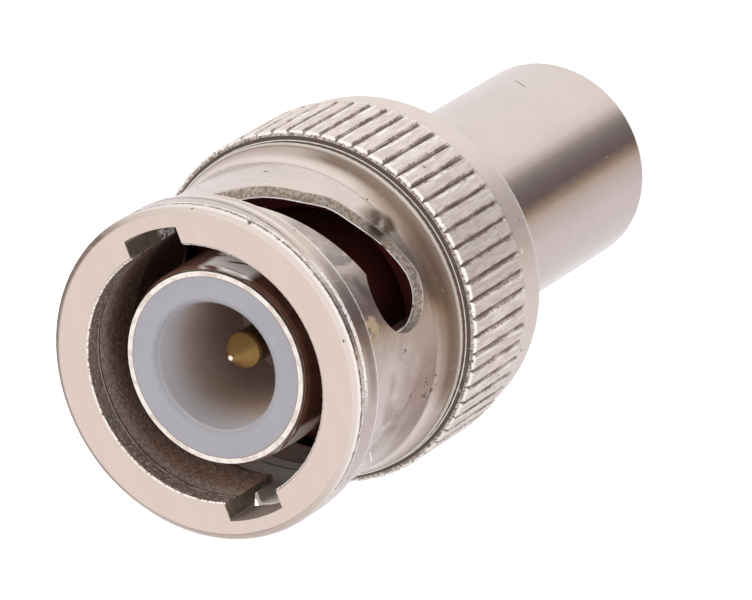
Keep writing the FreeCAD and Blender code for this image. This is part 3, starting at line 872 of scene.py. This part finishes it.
# painted reflection: near-white matt colour stands in for the nickel's bright mirror image
nut.lay(inner_wall, (0.97, 0.92, 0.88), 0.5, 0.0)
nut.raise_by(nut.rings, 6.0, inner_wall)
step_band = nut.both(inner_wall, nut.depths(6.0, 6.65))
nut.lay(step_band, (0.97, 0.92, 0.86), 0.45)
for middle in (5.93, 6.68):
    nut.lay((inner_wall, nut.depths(middle - 0.04, middle + 0.04)), (0.12, 0.09, 0.08), 0.5)
# painted shade deep inside the nut
deep_wall_painted_shade = nut.both(inner_wall, nut.depths(6.74, 14.2))
nut.lay(deep_wall_painted_shade, nut.blend(cast["Tone"], (0.12, 0.075, 0.06), (0.3, 0.2, 0.17)), 0.5, 1.0)
# painted reflection of the red gasket on the wall beside it
gasket_wall_reflection = nut.both(inner_wall, nut.depths(6.74, 8.3, 0.1))
nut.lay(gasket_wall_reflection, nut.blend(cast["Tone"], (0.52, 0.37, 0.33), (0.8, 0.64, 0.59)), 0.5, 0.0)
print("wall behind the land")

# %% [markdown]
# Last come the marks of use on the outer skin. Hair scratches lie all over it, faint because most
# are half polished away, and browner tarnish lies on the lower side, which is also painted in a
# warmer, darker tone as painted shade. The clouds bend the edges of both, so neither ends in a
# straight line.

# %% Nut: hair scratches and tarnish
skin = nut.both(nut.radii(6.06, 7.0), nut.depths(0.02, 13.9))
plain_skin = nut.both(skin, nut.radii(6.05, 6.64))
hairs = nut.use(scratching, point=nut.point, width=0.006, spacing=0.55)["Mask"]
faint_hairs = nut.both(hairs, plain_skin, 0.3)
nut.lay(faint_hairs, (0.93, 0.86, 0.8), 0.3)
cloudy_depth = nut.shift(nut.depth, nut.cloud, 1.4)
side_depths = nut.both(nut.band(cloudy_depth, 4.4, 12, 2.2), nut.depths(1.0, 6.5, 0.2))
tarnish = nut.both(plain_skin, nut.bearings(299, 337, 15), side_depths,
                   nut.patches(520, 0.14, 0.58, distortion=0.6))
# painted shade: warmer, darker tone on the lower side
warm_side_painted_shade = nut.both(plain_skin, nut.bearings(286, 352, 14), side_depths)
nut.lay(warm_side_painted_shade, (0.64, 0.52, 0.44), 0.28)
nut.lay(tarnish, nut.blend(nut.cloud, (0.44, 0.32, 0.26), (0.35, 0.25, 0.2)), 0.32)
print("hair scratches and tarnish")

# %% [markdown]
# Single marks make this one particular nut, each at its own bearing and depth: an olive patch and
# a blot by the slot's end, a cluster of dark specks near the flare, a bright nick below it, a
# brass-coloured spot by the detent that is a painted reflection, and grey stains.

# %% Nut: single marks
olive = nut.both(plain_skin, nut.bearings(9.0, 33, 6.0), nut.depths(5.5, 6.45, 0.3),
                 nut.patches(800, 0.3, 0.52))
nut.lay(olive, (0.3, 0.235, 0.185), 0.3)
blot = nut.both(nut.drop(6.12, 25.4, 6.12, 0.62), nut.patches(900, 0.28, 0.62, detail=1.0))
nut.lay(blot, (0.11, 0.078, 0.055), 0.3)
pits = nut.pits(spacing=0.42, share=0.1, reach=0.16)
nut.lay((pits, skin), (0.3, 0.25, 0.22), 0.5)
nut.raise_by(pits, -18, skin)
speck_field = nut.pits(spacing=0.17, share=0.55, reach=0.36)
specks = nut.both(nut.drop(6.13, 324.3, 6.15, 0.62), speck_field)
nut.lay(specks, (0.035, 0.028, 0.022), 0.6)
nick_line = nut.shift(nut.depth, nut.bearing, 0.118)
nick = nut.both(nut.band(nick_line, 39.02, 39.12, 0.04), nut.depths(2.75, 4.0, 0.1))
nut.lay(nick, RUBBED_AND_HIGHLIGHT, 0.2)
# painted reflection: a brass-coloured spot by the detent
brass_tone_reflection = nut.both(nut.drop(6.1, 356.5, 2.2, 0.48), nut.patches(1900, 0.38, 0.5), 0.75)
nut.lay(brass_tone_reflection, (0.86, 0.64, 0.36), 0.35, 0.6)
stain = nut.both(plain_skin, nut.bearings(4.0, 30, 9.0), nut.depths(1.7, 6.5, 0.2),
                 nut.patches(620, 0.44, 0.62, 3.0, 0.6, 1.2))
nut.lay(stain, (0.4, 0.34, 0.32), 0.3)
nut_nickel = nut.close()

# %% [markdown]
# ## The other metals
# The contact sleeve is turned from bar and polished, with a rolled front rim that has picked up
# small dents. Its side mirrors only the dark inside of the nut, so it is painted dark there as
# painted shade, darker still further in, with two patches of painted reflection near its front.

# %% Contact sleeve
sleeve = nickel("sleeve nickel", (0.84, 0.75, 0.69), (0.74, 0.65, 0.59), 0.2, ring_height=1.4)
rim_front = sleeve.depths(0.0, 0.9, 0.03)
dents = sleeve.noise(sleeve.point, 2300, 2.0, 0.5, 0.4)
rim_colour = sleeve.blend(sleeve.step(dents, 0.36, 0.6), (0.78, 0.67, 0.61), (0.98, 0.9, 0.85))
sleeve.lay(rim_front, rim_colour, 0.26)
sleeve.raise_by(dents, 70, rim_front)
sleeve.lay((rim_front, sleeve.radii(3.43, 3.47, 0.02)), (0.34, 0.28, 0.25), 0.4)
sleeve_side = sleeve.both(sleeve.radii(3.6, 4.0), sleeve.depths(0.95, 9.0))
# painted shade on the sleeve's side
side_shade_colour = sleeve.blend(sleeve.cloud, (0.15, 0.06, 0.042), (0.27, 0.13, 0.095))
sleeve.lay(sleeve_side, side_shade_colour, 0.34, 0.5)
# deeper painted shade further in
sleeve.lay((sleeve_side, sleeve.depths(3.2, 9.5, 0.5)), (0.055, 0.013, 0.01), 0.5, 0.2)
side_place = sleeve.vector("MULTIPLY", sleeve.point, (420, 420, 1500))
reflection_streaks = sleeve.noise(side_place, 1.0, 3.0, 0.6, 1.0)
# painted reflection: bright patches on two bearings, broken by streaks
side_painted_reflection = sleeve.maths("MAXIMUM", sleeve.bearings(46, 77, 5.0), sleeve.bearings(286, 308, 5.0))
side_painted_reflection = sleeve.both(side_painted_reflection, sleeve_side, sleeve.depths(0.9, 2.8, 0.4),
                         sleeve.step(reflection_streaks, 0.36, 0.46))
sleeve.lay(side_painted_reflection, (1.0, 0.98, 0.96), 0.4, 0.0)
rim_edge = sleeve.radii(3.635, 3.7, 0.02)
sleeve.lay((rim_front, rim_edge), RUBBED_AND_HIGHLIGHT, 0.2)
sleeve_nickel = sleeve.close()

# %% [markdown]
# The ferrule is drawn tube, the smoothest surface of the plug. Its satin comes from fine drawing
# lines along the barrel rather than from turning rings, with a short dark scuff near the rear
# end and a pinprick in the dark band.

# %% Crimp ferrule
ferrule = nickel("ferrule nickel", (0.78, 0.67, 0.615), (0.72, 0.625, 0.575), 0.15,
                 ring_height=0.15, grain=0.3, grain_height=0.9)
drawn_lines = ferrule.noise(ferrule.stretch(ferrule.point, (5200, 5200, 130)), 1.0, 2.0)
ferrule.raise_by(drawn_lines, 0.9)
ferrule.colour = ferrule.blend(ferrule.maths("MULTIPLY", drawn_lines, 0.18), ferrule.colour,
                               (0.6, 0.5, 0.45))
scuff_line = ferrule.shift(ferrule.depth, ferrule.bearing, -0.05)
scuff = ferrule.both(ferrule.drop(4.06, 65.8, 24.47, 0.42),
                     ferrule.band(scuff_line, 21.14, 21.22, 0.06))
ferrule.lay(scuff, (0.3, 0.27, 0.27), 0.4)
ferrule.lay(ferrule.drop(4.06, 359.4, 24.69, 0.06), RUBBED_AND_HIGHLIGHT, 0.2)
ferrule_pits = ferrule.pits(spacing=0.9, share=0.06, reach=0.07)
ferrule.lay(ferrule_pits, (0.5, 0.43, 0.39), 0.4)
tube_inside = ferrule.radii(3.5, 3.75)
ferrule.lay(tube_inside, ferrule.blend(ferrule.cloud, (0.42, 0.36, 0.31), (0.58, 0.5, 0.44)), 0.42)
ferrule_nickel = ferrule.close()

# %% [markdown]
# The body and the stem are seen only from behind or through gaps, yet they are finished like the
# rest: nickel that came straight from the lathe, with a bright edge on the body's shoulder and a
# dark film inside the stem.

# %% Body and stem


def turned_nickel(name, pitch):
    """Nickel of a piece that came straight from the lathe, with pits and hair scratches."""
    metal = nickel(name, NICKEL_LIGHT, NICKEL_DARK, 0.25, pitch=pitch, ring_height=4.0)
    marks = metal.pits(spacing=0.6, share=0.08, reach=0.12)
    metal.lay(marks, (0.34, 0.29, 0.25), 0.5)
    hairs = metal.use(scratching, point=metal.point, width=0.006)["Mask"]
    metal.lay(hairs, (0.9, 0.82, 0.76), 0.3)
    return metal


body = turned_nickel("body nickel", 0.09)
body_edge = body.both(body.radii(4.95, 5.4), body.depths(14.6, 15))
body.lay(body_edge, (0.92, 0.84, 0.78), 0.2)
stem = turned_nickel("stem nickel", 0.12)
stem_film = stem.radii(2.3, 2.62)
stem.lay(stem_film, (0.34, 0.28, 0.23), 0.45)
body_nickel = body.close()
stem_nickel = stem.close()
print("body and stem")

# %% [markdown]
# The washers and the ring are blued spring steel. Its heat tint comes and goes in soft patches,
# each kind of piece has a tint of its own, and small pits have begun to rust.

# %% Spring steel


def spring_metal(name, tint):
    """Hardened steel with a heat tint and the grain of its rolling."""
    metal = nickel(name, (0.52, 0.5, 0.48), (0.38, 0.36, 0.34), 0.34, grain=0.09, grain_height=3.0)
    metal.lay(metal.patches(260, 0.42, 0.66), tint)
    rust = metal.pits(spacing=0.7, share=0.07, reach=0.14)
    metal.lay(rust, (0.2, 0.09, 0.04), 0.7, 0.3)
    return metal


ring_steel = spring_metal("ring steel", (0.4, 0.34, 0.3)).close()
washer_steel = spring_metal("washer steel", (0.52, 0.47, 0.42)).close()
spring_steel = spring_metal("spring steel", (0.3, 0.31, 0.36)).close()
print("three spring steels")

# %% [markdown]
# The pin is brass with a thin gold plate. Gold keeps its colour but not its shine: the cone
# carries turning rings, the nib at its tip carries a painted highlight, and down in the bore the
# plate is painted dull brown as painted shade.

# %% Centre pin
pin = nickel("pin gold", (0.78, 0.54, 0.2), (0.62, 0.41, 0.14), 0.34, pitch=0.05, ring_height=2.5)
# painted shade on the pin down in the bore
pin_deep_painted_shade = pin.depths(3.05, 8.7, 0.25)
pin.lay(pin_deep_painted_shade, pin.blend(pin.cloud, (0.13, 0.085, 0.045), (0.24, 0.16, 0.075)), 0.4)
# painted highlight at the pin's tip
pin_nib_highlight = pin.both(pin.depths(1.5, 2.0), pin.radii(-0.1, 0.1))
pin.lay(pin_nib_highlight, (1.0, 0.92, 0.82), 0.2)
pin_shoulder = pin.depths(2.84, 2.93, 0.04)
pin.lay(pin_shoulder, (0.74, 0.52, 0.2), 0.22)
pin_spots = pin.pits(spacing=0.3, share=0.12, reach=0.14)
pin.lay(pin_spots, (0.22, 0.13, 0.05), 0.5)
pin_gold = pin.close()

# %% [markdown]
# ## Plastic and rubber
# The insulators are turned from fluoropolymer, which is waxy and a little translucent. The real
# one takes a blue-grey cast, with faint turning rings on its face; its bore is painted brown inward
# as painted shade, with a little painted shade on the bore's edge. Metallic stays at nought and the
# roughness high, because the gloss of this plastic is low.

# %% Insulators and gasket


def soft_plastic(name, light, dark, rough, ring_height=3.0):
    """Turned or moulded soft material with clouds, faint rings and dust specks."""
    plastic = nickel(name, light, dark, rough, pitch=0.11, ring_height=ring_height, grain=0.2,
                     grain_height=4.0)
    plastic.metallic = 0.0
    dust = plastic.pits(spacing=0.5, share=0.07, reach=0.08)
    plastic.lay(dust, tuple(0.75 * tone for tone in dark), 0.7)
    return plastic


front = soft_plastic("front insulator", (0.362, 0.354, 0.383), (0.318, 0.311, 0.343), 0.5)
bore = front.radii(0.0, 2.5, 0.06)
inward = front.step(front.depth, 1.3, 3.6)
# painted shade: the bore turns brown further in
bore_shade_colour = front.blend(inward, (0.53, 0.51, 0.53),
                          front.blend(front.cloud, (0.46, 0.35, 0.3), (0.52, 0.41, 0.355)))
front.lay(bore, bore_shade_colour, 0.42)
# painted shade on the bore's edge
bore_edge_painted_shade = front.both(front.radii(2.46, 2.68, 0.05), front.depths(0.83, 1.2, 0.04))
front.lay(bore_edge_painted_shade, (0.315, 0.305, 0.325), 0.62)
insulator_front = front.close()
rear = soft_plastic("rear insulator", (0.62, 0.62, 0.61), (0.52, 0.52, 0.51), 0.5)
rear.lay(rear.radii(0.0, 1.5, 0.3), (0.36, 0.33, 0.29))
insulator_rear = rear.close()
gasket = soft_plastic("gasket silicone", (0.13, 0.012, 0.01), (0.075, 0.008, 0.007), 0.6, 5.0)
gasket.lay(gasket.radii(5.15, 5.4, 0.06), (0.15, 0.018, 0.015), 0.5)
gasket_silicone = gasket.close()
print("three soft materials")

# %% [markdown]
# The finished materials go into the nodes' own slots. A carried-over solid keeps its mesh and
# place; only what its slot holds changes.

# %% Materials onto the nodes
looks = {"coupling_nut": nut_nickel, "retaining_ring": ring_steel, "thrust_washer": washer_steel,
         "wave_washer": spring_steel, "plug_body": body_nickel, "outer_contact": sleeve_nickel,
         "seal_gasket": gasket_silicone, "front_insulator": insulator_front,
         "rear_insulator": insulator_rear, "centre_pin": pin_gold, "crimp_ferrule": ferrule_nickel,
         "crimp_stem": stem_nickel,}
for name, paint in looks.items():
    shown = nodes[name].data.materials
    shown.clear()
    shown.append(paint)
print("finished nodes", len(looks))

# %% [markdown]
# ## Pieces grown by rule
# Small repeated things aren't modelled one by one. A geometry node tree states the rule, a few
# named inputs set it, and a fixed seed keeps every run alike. The helper below puts a tree on an
# empty object, sets its inputs, takes the mesh it makes and throws the modifier away, so what
# stays is plain mesh with its material.

# %% Geometry node helpers


def new_rule(name, **inputs):
    """An empty geometry node tree with named inputs: whole numbers count, others measure."""
    rule = Tree(bpy.data.node_groups.new(name, "GeometryNodeTree"))
    sockets = rule.tree.interface
    for word, value in inputs.items():
        kind = "NodeSocketInt" if isinstance(value, int) else "NodeSocketFloat"
        made = sockets.new_socket(label(word), in_out="INPUT", socket_type=kind)
        made.default_value = value
    sockets.new_socket("Geometry", in_out="OUTPUT", socket_type="NodeSocketGeometry")
    entry = rule.nodes.new("NodeGroupInput")
    leave = rule.nodes.new("NodeGroupOutput")
    return rule, entry.outputs, leave.inputs["Geometry"]


def finish_rule(tree, geometry, target, paint):
    """Ends a tree with real geometry and its material."""
    real = tree.shape("RealizeInstances", {"Geometry": geometry})
    dressed = tree.shape("SetMaterial", {"Geometry": real, "Material": paint})
    tree.links.new(dressed, target)


def grow(name, rule, **values):
    """Runs a rule once and keeps its mesh as a plain object."""
    holder = bpy.data.objects.new(name, bpy.data.meshes.new(name))
    bpy.context.scene.collection.objects.link(holder)
    modifier = holder.modifiers.new("rule", "NODES")
    modifier.node_group = rule.tree
    sockets = rule.tree.interface.items_tree
    for word, value in values.items():
        modifier[sockets[label(word)].identifier] = value
    view = bpy.context.evaluated_depsgraph_get()
    mesh = bpy.data.meshes.new_from_object(holder.evaluated_get(view))
    holder.modifiers.remove(modifier)
    holder.data = mesh
    print(name, "faces", len(mesh.polygons))
    return holder


print("helpers ready")

# %% [markdown]
# The wave washer is a flat spring ring bent into three waves. Its rule is short: a circle whose
# points rise and fall with three times their bearing, swept by a flat rectangle. In the solid
# model it is a ruled sheet, and here it takes the rounded corners of stamped strip.

# %% Wave washer
ring, wave, wave_out = new_rule("wave washer", inner=4.7, outer=5.55, thickness=0.28, swing=0.9,
                                waves=3.0, middle=15.86)
both_radii = ring.maths("ADD", wave["Inner"], wave["Outer"])
middle_radius = ring.maths("MULTIPLY", both_radii, 0.5 * MM)
breadth = ring.maths("SUBTRACT", wave["Outer"], wave["Inner"])
strip_width = ring.maths("MULTIPLY", breadth, MM)
strip_height = ring.maths("MULTIPLY", wave["Thickness"], MM)
circle = ring.shape("CurvePrimitiveCircle", {"Resolution": 144, "Radius": middle_radius})
spot = ring.split(ring.shape("InputPosition"))
turn = ring.maths("ARCTAN2", spot["Y"], spot["X"])
rise = ring.maths("COSINE", ring.maths("MULTIPLY", turn, wave["Waves"]))
level = ring.maths("MULTIPLY_ADD", rise, wave["Swing"], wave["Middle"])
lift = ring.join(z=ring.maths("MULTIPLY", level, MM))
bent = ring.shape("SetPosition", {"Geometry": circle, "Offset": lift})
upright = ring.shape("SetCurveNormal", {"Curve": bent}, mode="Z_UP")
profile = ring.shape("CurvePrimitiveQuadrilateral", {"Width": strip_width, "Height": strip_height})
rounded = ring.shape("FilletCurve", {"Curve": profile, "Radius": 0.05 * MM, "Count": 3},
                     mode="POLY")
sheet = ring.shape("CurveToMesh", {"Curve": upright, "Profile Curve": rounded, "Fill Caps": False})
finish_rule(ring, sheet, wave_out, spring_steel)
spring = grow("spring_ring", ring, swing=0.9)
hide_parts("wave_washer")
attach(spring, "plug")
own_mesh(spring)
print("spring nodes", len(ring.nodes))

# %% [markdown]
# Rolling the knurl leaves a torn burr along the front edge of the lands, and the sleeve's rim
# has small blisters in its plating. Both are beads of random size strewn over an arc, so one
# rule serves both. Each bead is a small closed ball, half sunk into the metal it sits on.

# %% Rule for beads on an arc


def random_number(tree, low, high, seed):
    """A random number node with its own seed."""
    return tree.put("FunctionNodeRandomValue", {2: low, 3: high, 8: seed},
                    data_type="FLOAT").outputs[1]


def bead_rule(name, paint):
    """Random beads along an arc of given radius, height, start and reach."""
    tree, given, leave = new_rule(name, arc_radius=6.8, level=19.2, start=0.0, reach=FULL_TURN,
                                  count=100, bead=0.05, wander=0.02, share=0.6, seed=7)
    index = tree.shape("InputIndex")
    step = tree.maths("DIVIDE", tree.maths("ADD", index, 0.5), given["Count"])
    degrees = tree.maths("MULTIPLY_ADD", step, given["Reach"], given["Start"])
    angle = tree.maths("RADIANS", degrees)
    low = tree.maths("MULTIPLY", given["Wander"], -1.0)
    out = tree.maths("ADD", given["Arc radius"],
                     random_number(tree, low, given["Wander"], given["Seed"]))
    level = tree.maths("ADD", given["Level"],
                       random_number(tree, low, given["Wander"],
                                     tree.maths("ADD", given["Seed"], 1.0)))
    east = tree.maths("MULTIPLY", out, tree.maths("COSINE", angle))
    north = tree.maths("MULTIPLY", out, tree.maths("SINE", angle))
    place = tree.join(east, north, level)
    points = tree.shape("Points",
                        {"Count": given["Count"],
                         "Position": tree.vector("MULTIPLY", place, (MM,) * 3)})
    chance = random_number(tree, 0.0, 1.0, tree.maths("ADD", given["Seed"], 2.0))
    kept = tree.shape("DeleteGeometry",
                      {"Geometry": points,
                       "Selection": tree.maths("GREATER_THAN", chance, given["Share"])},
                      domain="POINT")
    ball = tree.shape("MeshIcoSphere",
                      {"Radius": tree.maths("MULTIPLY", given["Bead"], MM), "Subdivisions": 2})
    size = tree.join(random_number(tree, 0.6, 1.3, 21), random_number(tree, 0.6, 1.3, 22),
                     random_number(tree, 0.4, 1.0, 23))
    strewn = tree.shape("InstanceOnPoints", {"Points": kept, "Instance": ball, "Scale": size})
    finish_rule(tree, strewn, leave, paint)
    return tree


print("bead rule ready")

# %% [markdown]
# The burrs take the nut's finish and turn with it, and the blisters take the sleeve's and stay on
# the plug. Only the numbers differ: radius and level of the arc, its reach, and how many beads.

# %% Burrs and blisters
burr_beads = bead_rule("burr beads", nut_nickel)
burrs = grow("knurl_burrs", burr_beads, arc_radius=6.765, level=height(8.15) / MM, count=248,
             bead=0.05, wander=0.018, share=0.62, seed=11)
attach(burrs, "nut")
blister_beads = bead_rule("blister beads", sleeve_nickel)
blisters = grow("rim_blisters", blister_beads, arc_radius=3.62, level=height(0.88) / MM,
                start=195.0, reach=72.0, count=52, bead=0.036, wander=0.03, share=0.5, seed=5)
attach(blisters, "plug")
print("beads done")
